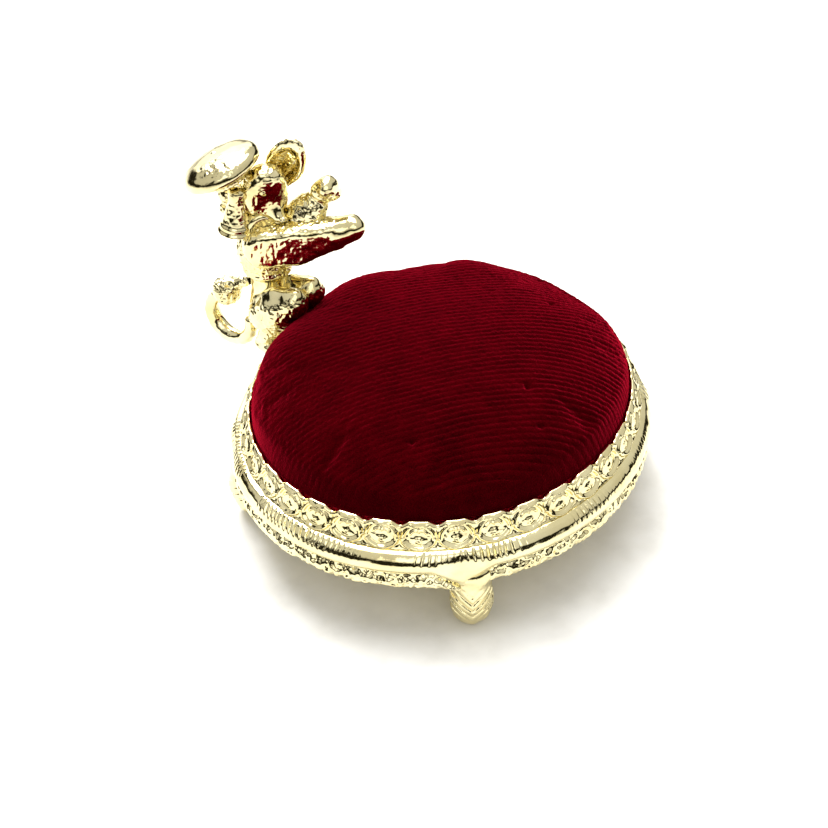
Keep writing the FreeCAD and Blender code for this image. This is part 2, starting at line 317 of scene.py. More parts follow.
def soft_material(name, dark, light, scale, roughness=0.9):
    """Fibrous matter, such as wadding, board or thread."""
    material, tree, shader = node_tree(name)
    fibre = noise_node(tree, scale, 6.0)
    tone = ramp(tree, fibre.outputs["Fac"], [(0.3, dark), (0.7, light)])
    tree.links.new(tone.outputs["Color"], shader.inputs["Base Color"])
    shader.inputs["Roughness"].default_value = roughness
    height = add(tree, "ShaderNodeBump", Strength=0.6, Distance=0.0001)
    tree.links.new(fibre.outputs["Fac"], height.inputs["Height"])
    tree.links.new(height.outputs["Normal"], shader.inputs["Normal"])
    return material


gilt = metal_material("gilt_plating", (0.91, 0.82, 0.49), (0.80, 0.69, 0.36), 0.08)
poodle_gilt = metal_material("gilt_figure", (0.86, 0.77, 0.46), (0.66, 0.56, 0.28), 0.08)
velvet = velvet_material("crimson_velvet")
wadding = soft_material("cotton_wadding", (0.62, 0.58, 0.50), (0.86, 0.83, 0.76), 900.0)
PLAIN_NODES = {
    "cushion_board": soft_material("pressed_board", (0.30, 0.23, 0.15), (0.50, 0.40, 0.28), 1500.0),
    "gathering_thread": soft_material("sewing_thread", (0.10, 0.005, 0.01), (0.22, 0.01, 0.02), 4000.0),
    "base_plate": metal_material("washed_tinplate", (0.72, 0.66, 0.46), (0.55, 0.50, 0.34), 0.32),
    "centre_screw": metal_material("plated_steel_screw", (0.62, 0.62, 0.63), (0.48, 0.48, 0.50), 0.3),
    "screw_washer": metal_material("plated_steel_washer", (0.60, 0.60, 0.60), (0.46, 0.46, 0.47), 0.36),
    "screw_nut": metal_material("plated_steel_nut", (0.58, 0.58, 0.60), (0.44, 0.44, 0.46), 0.34),
}
for plain_node, plain_material in PLAIN_NODES.items():
    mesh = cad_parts[plain_node].data
    mesh.materials.clear()
    mesh.materials.append(plain_material)


# ---------------------------------------------------------------- the oval stool ring
AROUND = 1800        # columns of points round the oval
ANGLES = np.linspace(0, 2 * math.pi, AROUND, endpoint=False)


def from_feet(angles):
    """Degrees to the nearest foot, with the sign of the side it lies on."""
    turns = np.degrees(angles)[..., None] - np.array(list(FOOT_TURNS.values()))
    turns = (turns + 180) % 360 - 180
    nearest = np.abs(turns).argmin(-1)
    return np.take_along_axis(turns, nearest[..., None], -1)[..., 0]


def profile_rows(corners, spacing):
    """Points along a closed outline of (inset, height) corners, about evenly spaced."""
    rows = []
    for (inset, height), (next_inset, next_height) in zip(corners, corners[1:] + corners[:1]):
        steps = max(1, round(math.hypot(next_inset - inset, next_height - height) / spacing))
        for k in range(steps):
            share = k / steps
            rows.append((inset + (next_inset - inset) * share, height + (next_height - height) * share))
    return np.array(rows)


def round_off(rows, passes):
    """Smooths a closed outline, so that its corners become small rounds."""
    for _ in range(passes):
        rows = (np.roll(rows, 1, 0) + 2 * rows + np.roll(rows, -1, 0)) / 4
    return rows


def oval_points(inset, height):
    """Points of an oval grid from insets and heights, one column per angle."""
    reach_x, reach_y = LONG - inset, SHORT - inset
    return np.stack([reach_x * np.cos(ANGLES), reach_y * np.sin(ANGLES), height], -1)


LIP_Z = ring_low[2]
RING_TOP_Z = ring_high[2]
NECK_Z = 11.3        # the undercut between the shoulder and the lower band
DIP_TURN = 8.0       # degrees to each side of a foot that the brow's dip reaches
DIP_DEPTH = 2.8
FLUTES = 222         # round the whole ring
FLUTE_DEPTH = 0.24


def make_ring():
    """The cast ring: one outline swept round the oval, then dipped, fluted and stippled."""
    outline = [(0.95, LIP_Z), (0.3, LIP_Z + 0.35), (0.35, 9.9), (0.95, 10.9), (1.0, 11.2), (0.25, 11.65),
               (0.0, 12.3), (0.1, 13.0), (0.45, 13.7), (1.05, 14.25), (1.75, RING_TOP_Z), (2.3, RING_TOP_Z),
               (2.3, 13.2), (6.9, 13.2), (6.9, 12.0), (2.6, 12.0), (2.2, LIP_Z + 0.4)]
    rows = round_off(profile_rows(outline, 0.16), 2)
    inset = np.repeat(rows[:, :1], AROUND, 1)
    height = np.repeat(rows[:, 1:], AROUND, 1)
    outside = step_up(2.2 - inset, 0.0, 0.5)
    spot = np.abs(from_feet(ANGLES))[None, :]

    # the brow dips to a point over each foot
    dip = np.clip(1 - spot / DIP_TURN, 0, 1) ** 1.2 * outside
    carried = np.interp(height, [LIP_Z, LIP_Z + 0.4, NECK_Z, 12.6, RING_TOP_Z - 0.3],
                        [0.35, 0.4, 1.0, 0.9, 0.0])
    height = height - DIP_DEPTH * dip * carried

    # short flutes across the shoulder, strong beside the feet and in worn patches between
    places = oval_points(inset, height)
    slant = 1.5 * (height - 13.5) * np.sign(from_feet(ANGLES))[None, :]
    wave = np.cos(FLUTES * ANGLES[None, :] + slant + 3.2 * lumps(places * [1, 1, 0.4], 2.2, 7.0))
    groove = step_up(wave + 0.3 * lumps(places, 1.1, 5.0), 0.4, 1.0)
    worn = lumps(places * [1, 1, 0.2], 6.5)
    strength = np.clip(0.10 + 0.9 * (1 - step_up(spot, 9.0, 15.0)) + 1.5 * worn, 0.0, 1.0)
    shoulder = step_up(height, 12.9, 13.7) * (1 - step_up(height, 14.3, 14.5)) * outside
    depth = FLUTE_DEPTH * groove * strength * shoulder
    inset = inset + depth
    height = height - depth

    # stippled flowers on the lower band
    band = step_up(NECK_Z - 1.75 * dip - height, 0.0, 0.5) * outside
    relief = 0.22 * curls(places * [1, 1, 1.1], 0.75) + 0.16 * lumps(places, 0.45, 3.1)
    inset = inset - band * np.clip(relief, -0.28, 0.14)
    height = height + band * 0.22 * lumps(places, 1.7, 9.0) * bump(height, LIP_Z + 0.2, 1.2)
    polish = 0.05 * lumps(places, 1.1, 1.7) * outside
    inset = inset + polish
    inset = np.maximum(inset, 0.0)
    points = oval_points(inset, height).reshape(-1, 3)
    return mesh_piece("ring_casting", points, grid_faces(len(rows), AROUND, True)[:, ::-1],
                      "stool_ring", gilt)


# ---------------------------------------------------------------- the pressed gallery strip
CARTOUCHES = 36      # round the whole strip
CARTOUCHE_START = 1.3
GALLERY_FOOT_Z = gallery_low[2]
GALLERY_TALL = gallery_high[2] - gallery_low[2] - 0.35   # up to the beads along its crest
GALLERY_WALL = 0.55
FOOT_INSET = 1.95    # how far inside the ring's outline the strip stands, and leans by its crest
CREST_INSET = 3.1


def cartouche_relief(across, up):
    """How far the strip's pattern stands proud. across is -1 to 1 over one cartouche, up is 0 to 1."""
    aside = np.abs(across)
    circle = np.hypot(across / 0.88, (up - 0.50) / 0.46)
    frame_bar = bump(circle, 0.97, 0.20)
    hollow = 1 - step_up(circle, 0.78, 0.93)
    rosette_r = np.hypot(across / 0.40, (up - 0.34) / 0.21)
    rosette = bump(rosette_r, 0.0, 1.0)
    petals = 0.5 + 0.5 * np.cos(5 * np.arctan2(up - 0.34, across * 0.55))
    eye = bump(rosette_r, 0.0, 0.35)
    upper = step_up(up, 0.52, 0.6)
    leaf = bump(np.hypot((aside - 0.16) / 0.42, (up - 0.50) / 0.30), 0.72, 0.26) * upper
    vein = bump(aside, 0.0, 0.08) * upper * (1 - step_up(up, 0.8, 0.9))
    between = step_up(aside, 0.86, 1.0) * (1 - step_up(np.abs(up - 0.5), 0.30, 0.46))
    bead = bump(np.hypot((aside - 1.0) / 0.22, (up - 0.5) / 0.14), 0.0, 1.0)
    top_bead = step_up(up, 0.90, 0.95)
    return (0.30 * frame_bar - 0.16 * hollow + 0.24 * rosette * (0.65 + 0.35 * petals) - 0.12 * eye
            + 0.20 * leaf + 0.10 * vein - 0.14 * between + 0.14 * bead + 0.20 * top_bead
            + 0.12 * bump(up, 0.0, 0.10))


def make_gallery():
    """The strip of cartouches, leaning in towards the cushion."""
    levels = np.linspace(0, 1, 46)
    turns = (np.degrees(ANGLES) - CARTOUCHE_START) / 360 * CARTOUCHES
    across = ((turns + 0.5) % 1 - 0.5)[None, :] * 2
    up = levels[:, None] * np.ones_like(across)
    crest = 1 - 0.17 * step_up(np.abs(across), 0.45, 1.0)     # scalloped top edge
    height = GALLERY_FOOT_Z + up * crest * GALLERY_TALL
    lean = CREST_INSET - FOOT_INSET
    face_inset = FOOT_INSET + lean * up
    places = oval_points(face_inset, height)
    relief = cartouche_relief(across, up) + 0.05 * lumps(places, 0.7) + 0.03 * lumps(places, 0.33, 2.0)

    # over the crest, and down the plain inner face
    inner_up = levels[::-6][:, None] * np.ones_like(across)
    inner_height = GALLERY_FOOT_Z + inner_up * crest * GALLERY_TALL
    inner_inset = FOOT_INSET + lean * inner_up + GALLERY_WALL
    crown_inset = np.full_like(across, CREST_INSET)
    crown_height = GALLERY_FOOT_Z + crest * GALLERY_TALL + 0.28
    inset = np.concatenate([face_inset - relief, crown_inset + 0.02, crown_inset + 0.32, inner_inset])
    height = np.concatenate([height, crown_height - 0.1, crown_height, inner_height])
    points = oval_points(inset, height).reshape(-1, 3)
    return mesh_piece("gallery_strip", points, grid_faces(len(inset), AROUND, True)[:, ::-1],
                      "gallery_band", gilt)


# ---------------------------------------------------------------- the four cabriole feet
FOOT_REACH = 30.5    # from the middle of the oval to the middle of the foot, where it is sculpted
FOOT_TOP_Z = 12.4
FOOT_LOW, FOOT_HIGH = (25.9, -3.2, -0.3), (33.0, 3.2, 12.9)    # the room that it is sculpted in


def foot_shape(points):
    """A cabriole toe in its own frame: +X points out from the stool, and Z is up."""
    leg = chain(points, [(29.0, 0, 10.4, 2.2), (29.7, 0, 7.8, 2.5), (30.0, 0, 5.2, 2.6),
                         (29.6, 0, 2.9, 2.15), (29.5, 0, 1.9, 2.1)], 1.2)
    knee = egg(points, (30.7, 0, 9.6), (1.6, 2.7, 1.7))
    toe = egg(points, (29.9, 0, 3.9), (2.6, 2.95, 3.6))
    body = join(join(leg, knee, 0.8), toe, 0.8)
    x, y, z = points[..., 0], points[..., 1], points[..., 2]
    fold = np.cos((z - 0.95 * np.abs(y + 0.3) - 0.3 * (x - 30.0)) * math.tau / 1.25)
    folds = step_up(fold, 0.1, 1.0) * bump(z, 4.9, 4.3) * step_up(x, 28.8, 29.8)
    spine = np.exp(-np.square((y + 0.3) / 0.32)) * bump(z, 5.0, 4.5) * step_up(x, 29.0, 30.0)
    body = body + 0.18 * folds - 0.10 * spine - 0.08 * lumps(points, 0.9)
    return np.maximum(np.maximum(body, -z), z - FOOT_TOP_Z)


def make_feet():
    """One sculpted foot, set down at each of the four places."""
    points, faces = sculpt(foot_shape, FOOT_LOW, FOOT_HIGH, 0.13)
    for name, turn in FOOT_TURNS.items():
        low, high = box_mm(name)
        turn = math.radians(turn)
        spot = (low + high) / 2 - CENTRE
        direction = np.array([math.cos(turn), math.sin(turn)])
        sideways = np.array([-direction[1], direction[0]])
        slide = np.array([spot[0], spot[1]]) @ direction - FOOT_REACH
        placed = np.outer(points[:, 0] + slide, direction) + np.outer(points[:, 1], sideways)
        placed = np.concatenate([placed, points[:, 2:]], 1)
        mesh_piece(name + "_casting", placed, faces, name, gilt)


# ---------------------------------------------------------------- the velvet cushion
CROWN_POWER = 2.5    # of the superellipse through the dome: 2 is an ellipse, and more is fuller
SPRING_Z = 18.0      # where the dome springs from, inside the gallery
CROWN_RISE = COVER_TOP_Z - SPRING_Z
CUSHION_INSET = 3.75
CUSHION_LONG = LONG - CUSHION_INSET
CUSHION_SHORT = SHORT - CUSHION_INSET
RIB_PITCH = 0.95
RIB_DEPTH = 0.15
RIB_RUN = np.array([0.763, -0.646])
# x, y and strength of each mark that a pin has left
PIN_MARKS = [(-1.2, -15.4, 1.0), (19.3, -7.0, 0.8), (-19.2, -8.5, 0.6), (-6.0, -20.5, 0.5)]
# x, y, width and height of each soft rise or hollow in the stuffing
SWELLS = [(8.0, 21.5, 7.0, 1.0), (22.0, 10.5, 4.5, 0.8), (25.0, -5.5, 6.0, -0.9), (-11.0, 20.0, 7.0, 1.0),
          (-3.0, 6.0, 9.0, 0.3)]
GATHER = 5.5         # how far the ends of the ribs are drawn down, at most
EDGE_START = 0.93    # share of the way out where swells and ribs start to fade towards the edge
UNDER_BOARD = 0.55   # how far below the board its turned-in cloth lies
CLOTH_CELLS = 52     # along each side of the grid that is simulated
CLOTH_DOUBLINGS = 3  # how often that grid is made finer for the ribs
SIM_SCALE = 10.0     # cloth settles better at ten times its size
SIM_FRAMES = 20
SIM_START = 0.96     # share of the full crown height that the cloth starts from
SIM_CAP = 0.9        # the furthest that a point may settle from its start


def disc_grid(cells):
    """A square grid eased into the unit disc, as (rows, columns, 2)."""
    line = np.linspace(-1, 1, cells + 1)
    u, v = np.meshgrid(line, line, indexing="ij")
    return np.stack([u * np.sqrt(1 - v * v / 2), v * np.sqrt(1 - u * u / 2)], -1)


def crown(plan, swell=1.0):
    """Height over the rim of a stuffed dome, for places in the unit disc."""
    reach = np.clip(np.linalg.norm(plan, axis=-1), 0, 1)
    return CROWN_RISE * swell * (1 - reach ** CROWN_POWER) ** (1 / CROWN_POWER)


def open_grid_faces(cells):
    """Quads of a square grid with open edges."""
    index = np.arange((cells + 1) ** 2).reshape(cells + 1, cells + 1)
    return np.stack([index[:-1, :-1], index[1:, :-1], index[1:, 1:], index[:-1, 1:]], -1).reshape(-1, 4)


def edge_loop(side):
    """Numbers of the border points of a square grid, in order round it."""
    index = np.arange(side * side).reshape(side, side)
    return np.concatenate([index[0, :-1], index[:-1, -1], index[-1, :0:-1], index[:0:-1, 0]])


def inflate(plan, cells):
    """Cloth with its rim pinned, blown up by the stuffing: returns settled points in millimetres."""
    swell = SIM_START
    start = np.stack([plan[..., 0] * CUSHION_LONG, plan[..., 1] * CUSHION_SHORT,
                      SPRING_Z + crown(plan, swell)], -1).reshape(-1, 3)
    mesh = bpy.data.meshes.new("cushion_form")
    mesh.from_pydata((start * MM * SIM_SCALE).tolist(), [], open_grid_faces(cells).tolist())
    form = bpy.data.objects.new("cushion_form", mesh)
    bpy.context.scene.collection.objects.link(form)
    rim = form.vertex_groups.new(name="rim")
    reach = np.linalg.norm(plan, axis=-1).reshape(-1)
    rim.add(np.flatnonzero(reach > 0.985).tolist(), 1.0, "REPLACE")
    cloth = form.modifiers.new("Cloth", "CLOTH")
    cloth.settings.quality = 6
    cloth.settings.mass = 0.3
    cloth.settings.tension_stiffness = 25
    cloth.settings.compression_stiffness = 25
    cloth.settings.bending_stiffness = 2.0
    cloth.settings.use_pressure = True
    cloth.settings.uniform_pressure_force = 4.0
    cloth.settings.effector_weights.gravity = 0.0
    cloth.settings.vertex_group_mass = "rim"
    for moment in range(1, SIM_FRAMES + 1):
        bpy.context.scene.frame_set(moment)
    settled = form.evaluated_get(bpy.context.evaluated_depsgraph_get()).to_mesh()
    places = np.empty(len(start) * 3)
    settled.vertices.foreach_get("co", places)
    places = places.reshape(-1, 3) / (MM * SIM_SCALE)
    bpy.data.objects.remove(form)
    bpy.context.scene.frame_set(1)
    moved = places - start
    far = np.linalg.norm(moved, axis=-1, keepdims=True)
    moved = moved * np.minimum(1, SIM_CAP / np.maximum(far, 1e-9))
    return start + moved


def finer(grid, times):
    """Doubles a grid of points with cubic midpoints, the given number of times."""
    for _ in range(times):
        for axis in (0, 1):
            grid = np.swapaxes(grid, 0, axis)
            before = np.concatenate([2 * grid[:1] - grid[1:2], grid[:-2]])
            after = np.concatenate([grid[2:], 2 * grid[-1:] - grid[-2:-1]])
            middle = (9 * (grid[:-1] + grid[1:]) - before - after) / 16
            doubled = np.empty((2 * len(grid) - 1,) + grid.shape[1:])
            doubled[::2] = grid
            doubled[1::2] = middle
            grid = np.swapaxes(doubled, 0, axis)
    return grid


def grid_normals(grid):
    """Unit normals of a grid of points."""
    normal = np.cross(np.gradient(grid, axis=0), np.gradient(grid, axis=1))
    return normal / np.maximum(np.linalg.norm(normal, axis=-1, keepdims=True), 1e-9)


def swollen(grid, reach):
    """The dome with the soft rises and hollows of its stuffing."""
    bulge = 0.16 * lumps(grid, 11.0, 2.2)
    for x, y, width, rise in SWELLS:
        away = np.hypot(grid[..., 0] - x, grid[..., 1] - y)
        bulge += rise * np.exp(-np.square(away / width))
    return grid + grid_normals(grid) * (bulge * (1 - step_up(reach, EDGE_START, 1.0)))[..., None]


def make_stuffing(dome):
    """The wadding: a plump body that fills the settled cloth down to the board."""
    side = len(dome)
    dome = dome.copy()
    dome[..., :2] *= 0.965
    dome[..., 2] -= 1.1 + 0.12 * np.abs(lumps(dome, 2.4, 6.0))
    dome[..., 2] = np.maximum(dome[..., 2], STUFFING_Z + 0.5)
    base = dome.copy()
    base[..., 2] = STUFFING_Z + 0.05 * lumps(dome * [1, 1, 0], 2.0)
    loop = edge_loop(side)
    under = loop + side * side
    top = open_grid_faces(side - 1)
    faces = np.concatenate([top, top[:, ::-1] + side * side,
                            np.stack([loop, np.roll(loop, -1), np.roll(under, -1), under], -1)[:, ::-1]])
    points = np.concatenate([dome.reshape(-1, 3), base.reshape(-1, 3)])
    return mesh_piece("stuffing_wad", points, faces, "cushion_stuffing", wadding)


def ribbed(grid, reach):
    """The swollen dome with its ribs and tufts raised, and its pin marks sunk, along its normals."""
    flat = grid[..., :2]
    across = flat @ np.array([-RIB_RUN[1], RIB_RUN[0]])
    along = flat @ RIB_RUN

    # the ribs run straight over the dome, and are drawn down where the cloth is gathered at its edge
    ends = np.where(along > 0, GATHER, 0.4 * GATHER) * step_up(np.abs(along), 8.0, 32.0)
    across = across + ends * np.clip(-across / 20 + 0.5, 0, 1)
    waver = 0.35 * lumps(np.stack([flat[..., 0], flat[..., 1], 0 * across], -1), 9.0)
    phase = (across + waver) / RIB_PITCH
    wale = np.abs(np.cos(math.pi * phase)) ** 0.7
    tuft = lumps(np.stack([along / 1.3, across / 1.3, 0 * along], -1), 0.34, 4.0)
    fade = 0.75 + 0.55 * (flat @ np.array([0.4, -0.75])) / 25 + 0.3 * lumps(grid, 6.0, 1.0)
    lift = RIB_DEPTH * np.clip(fade, 0.3, 1.5) * (wale - 0.75) + 0.055 * tuft

    sag = np.zeros_like(lift)
    for x, y, strength in PIN_MARKS:
        away = np.hypot(grid[..., 0] - x, grid[..., 1] - y)
        sag += strength * (0.65 * np.exp(-np.square(away / 0.5)) + 0.2 * np.exp(-np.square(away / 1.7)))
    calm = 1 - step_up(reach, EDGE_START, 1.0)
    grid = swollen(grid, reach)
    return grid + grid_normals(grid) * (lift * (0.35 + 0.65 * calm) - sag)[..., None]


def make_cushion():
    """The velvet over its stuffing, in one piece down to where it turns under the board."""
    plan = disc_grid(CLOTH_CELLS)
    grid = inflate(plan, CLOTH_CELLS).reshape(CLOTH_CELLS + 1, CLOTH_CELLS + 1, 3)
    make_stuffing(finer(swollen(grid, np.linalg.norm(plan, axis=-1)), 1))
    reach = np.linalg.norm(finer(plan, CLOTH_DOUBLINGS), axis=-1)
    grid = ribbed(finer(grid, CLOTH_DOUBLINGS), reach)
    points = grid.reshape(-1, 3)
    faces = [open_grid_faces(len(grid) - 1)]
    rings = [edge_loop(len(grid))]
    rim = points[rings[0]]

    # the edge of the cloth goes down inside the gallery and turns in under the board
    floor_z = BOARD_Z - UNDER_BOARD
    for shrink, height in ((1.0, SPRING_Z - 1.2), (0.995, floor_z + 0.6), (0.975, floor_z), (0.80, floor_z)):
        row = np.column_stack([rim[:, 0] * shrink, rim[:, 1] * shrink, np.full(len(rim), height)])
        rings.append(np.arange(len(points), len(points) + len(row)))
        points = np.concatenate([points, row])
    for upper, lower in zip(rings, rings[1:]):
        faces.append(np.stack([upper, np.roll(upper, -1), np.roll(lower, -1), lower], -1)[:, ::-1])
    middle = len(points)
    points = np.concatenate([points, [[0, 0, floor_z]]])
    last = rings[-1]
    cap = np.stack([last, np.roll(last, -1), np.full(len(last), middle)], -1)[:, ::-1]
    cushion = mesh_piece("velvet_cushion", points, np.concatenate(faces).tolist() + cap.tolist(),
                         "velvet_cover", velvet)


# ---------------------------------------------------------------- the poodle
DOG_X = -1.0         # the plane down the middle of the dog, which faces -Y
CHEST = (DOG_X, 31.6, 31.4)
SKULL = (DOG_X, 31.0, 41.0)
FLAT_SIDE = unit((-0.60, -0.78, -0.12))          # the way that the flattened side of the head and neck faces
FLAT_FORELEG = unit((-0.80, -0.585, -0.03))      # and that of the near foreleg
COAT = 0.62          # size of the curls in the coat
COAT_DEPTH = 0.17


def coat(points, strength=1.0):
    """How far the stippled coat stands proud, as a change of signed distance."""
    return -COAT_DEPTH * strength * (curls(points, COAT) - 0.2)


def torso_shape(points):
    """Neck, chest, clipped waist and rump, with a smooth band where the coat of the chest ends."""
    body = chain(points, [(-1, 31.6, 31.4, 4.1), (-1, 31.5, 26.4, 2.5), (-1, 32.2, 20.2, 3.3)], 1.5)
    ribs = egg(points, CHEST, (4.2, 4.3, 4.6))
    throat = ball(points, (-1, 31.9, 35.3), 2.6)
    body = join(join(body, ribs, 1.2), throat, 1.5)
    z = points[..., 2]
    furry = np.clip(step_up(z, 27.6, 29.2) + (1 - step_up(z, 20.5, 22.0)), 0, 1)
    band = 0.35 * bump(z, 28.2, 0.9)
    flank = (points - np.array(SKULL)) @ FLAT_SIDE
    calm = step_up(flank, 0.3, 1.8) * step_up(z, 32.3, 33.4)
    body = join(body, carve(ball(points, (-1.3, 31.6, 36.0), 3.4), 2.4 - flank, 0.4), 0.6)
    return body + coat(points) * furry * (1 - 0.85 * calm) - band - 0.05 * lumps(points, 1.2) * (1 - furry)


def head_shape(points):
    """Skull, topknot and a short muzzle, with plain eyes under their lids."""
    skull = egg(points, SKULL, (3.5, 3.7, 3.8))
    throat = ball(points, (-1, 31.9, 36.2), 2.5)
    topknot = egg(points, (-1.0, 30.4, 43.2), (2.9, 2.9, 2.8))
    muzzle = limb(points, (-1, 30.2, 39.6), (-1, 28.5, 38.1), 1.5, 1.05)
    nose = egg(points, (-1, 27.5, 37.9), (0.7, 0.5, 0.5))
    nape = ball(points, (-2.8, 35.9, 40.6), 1.9)
    curl = ball(points, (-3.4, 36.3, 38.2), 1.2)
    body = join(join(skull, throat, 1.4), topknot, 1.0)
    coated = join(join(body, nape, 0.8), curl, 0.5)
    flank = (points - np.array(SKULL)) @ FLAT_SIDE
    calm = step_up(flank, 0.6, 2.2)
    coated = carve(coated, 2.2 - flank, 1.2) + coat(points, 0.8) * (1 - 0.65 * calm)
    body = join(join(coated, muzzle, 0.9), nose, 0.15)
    for side in (-1, 1):
        lid_y = 29.0 - 0.3 * side
        eye = ball(points, (DOG_X + side * 1.6, lid_y + 0.3, 42.6), 0.5)
        lid = limb(points, (DOG_X + side, lid_y, 43.2), (DOG_X + side * 2.2, lid_y + 0.4, 43.1), 0.26, 0.22)
        body = join(join(body, eye, 0.08), lid, 0.15)
    x, y, z = points[..., 0] - DOG_X, points[..., 1], points[..., 2]
    mouth = np.maximum(np.abs(z - 37.6 - 0.12 * np.square(x)) - 0.08, y - 28.4)
    return carve(body, mouth, 0.2)


def beret_shape(points):
    """A flat cap whose crown overhangs a ribbed band."""
    up = unit((-0.18, 0.34, 0.92))
    across = unit(np.cross(up, (0, 0, 1)))
    forward = np.cross(up, across)
    local = points - np.array((-3.9, 36.1, 45.4))
    x, y, z = local @ across, local @ forward, local @ up
    round_off_x = np.hypot(x / 6.3, y / 6.0)
    reach = np.hypot(x, y)
    crown_top = egg(np.stack([x, y, z], -1), (0, 0, 0.15), (6.35, 6.05, 2.3))
    rim = np.hypot((round_off_x - 0.93) * 6.1, z + 0.25) - 0.5
    cap = join(crown_top, rim, 0.3)
    turn = np.arctan2(y, x)
    ribs = 0.14 * np.abs(np.cos(13 * turn))
    band = np.maximum(reach - 3.2 - ribs, np.abs(z + 1.5) - 0.9)
    near_edge = bump(np.hypot((x + 3.7) / 0.6, y + 1.4), 0.0, 4.4)
    hammered = 0.34 * curls(points, 0.9) * near_edge * step_up(z, 0.2, 0.7)
    cap = cap - hammered - 0.04 * lumps(points, 1.4)
    stalk = limb(np.stack([x, y, z], -1), (0, 0, 1.6), (0, 0, 2.35), 0.42, 0.3)
    return join(join(cap, band, 0.25), stalk, 0.3)


def ear_raised_shape(points):
    """A folded ear thrown up: a leaf with a rolled rim and pleats that fan from its root."""
    root, tip = np.array((2.0, 32.4, 38.9)), np.array((3.1, 27.6, 48.7))
    along = unit(tip - root)
    outward = unit((-0.62, -0.52, 0.30))
    outward = unit(outward - along * (outward @ along))
    wide = np.cross(along, outward)
    length = np.linalg.norm(tip - root)
    local = points - root
    u, v, w = local @ along, local @ wide, local @ outward
    share = u / length
    half = 1.1 + 1.65 * step_up(share, 0.0, 0.62)
    ring = np.hypot((share - 0.54) / 0.48, v / half)
    rim = np.hypot((ring - 0.88) * 2.7, w - 0.1) - 0.55
    pleat = np.abs(2 * ((np.arctan2(v + 0.4, u + 1.6) * 3.4) % 1) - 1)
    front = w - 0.35 + 0.75 * pleat * step_up(share, 0.05, 0.25)
    back = -w - 1.7 + 1.2 * np.square(ring)
    plate = np.maximum(np.maximum(front, back), (ring - 0.92) * 2.7) * 0.7
    stem = limb(points, root - along * 0.5, root + along * 2.2, 1.5, 1.1)
    body = join(join(plate, rim, 0.35), stem, 0.7)
    return body + coat(points, 0.25)


def ear_hanging_shape(points):
    """A bell of hair: narrow at the root, flared to a doubled hem."""
    top, bottom = np.array((-4.5, 33.0, 42.0)), np.array((-5.0, 33.7, 36.0))
    along = unit(bottom - top)
    length = np.linalg.norm(bottom - top)
    local = points - top
    u = local @ along
    side = local - u[..., None] * along
    reach = np.linalg.norm(side, axis=-1)
    share = np.clip(u / length, -0.2, 1.1)
    radius = 1.15 + 1.3 * np.clip(share, 0, 1) ** 1.3
    radius = radius + 0.16 * bump(u, length - 1.1, 0.5) + 0.2 * bump(u, length - 0.1, 0.6)
    bell = np.maximum(reach - radius, np.maximum(-u - 0.8, u - length)) * 0.85
    bell = join(bell, ball(points, top, 1.25), 0.6)
    hollow = np.maximum(reach - (radius - 0.55), length - 0.9 - u)
    bell = carve(bell, hollow, 0.15)
    coated = 1 - step_up(u, length - 2.0, length - 1.5)
    return bell + coat(points, 0.35) * coated - 0.04 * lumps(points, 0.9)


def foreleg_right_shape(points):
    """The near foreleg, held out level over the cushion: a full stippled sleeve, a cuff and a smooth paw."""
    sleeve = chain(points, [(-3.2, 29.8, 33.6, 3.3), (-0.4, 26.0, 34.1, 3.1), (2.9, 21.4, 35.6, 2.6)], 1.2)
    side = (points - np.array((-0.4, 26.0, 34.1))) @ FLAT_FORELEG
    calm = step_up(side, 0.4, 2.0)
    sleeve = carve(sleeve, 2.15 - side, 0.5) + coat(points) * (1 - 0.8 * calm)
    paw = chain(points, [(3.2, 21.0, 35.8, 2.35), (4.5, 19.2, 36.5, 2.1)], 0.5)
    toes = join(ball(points, (4.4, 18.2, 36.9), 1.2), ball(points, (5.6, 18.7, 36.4), 1.1), 0.3)
    return join(join(sleeve, paw, 0.12), toes, 0.6) - 0.05 * lumps(points, 1.0)


def foreleg_left_shape(points):
    """The far foreleg, raised: a short flared sleeve and a lumpy paw."""
    sleeve = chain(points, [(1.5, 29.4, 35.0, 2.6), (3.0, 25.8, 38.0, 2.6), (3.5, 24.7, 39.6, 2.0)], 1.0)
    sleeve = sleeve + coat(points, 0.25)
    paw = join(ball(points, (4.0, 23.7, 41.5), 1.95), ball(points, (4.2, 22.8, 42.7), 1.6), 0.6)
    toes = join(ball(points, (5.0, 22.6, 41.2), 1.25), ball(points, (3.2, 22.5, 42.6), 1.25), 0.3)
    return join(join(sleeve, paw, 0.15), toes, 0.6) - 0.14 * lumps(points, 1.3) + coat(points, 0.3)


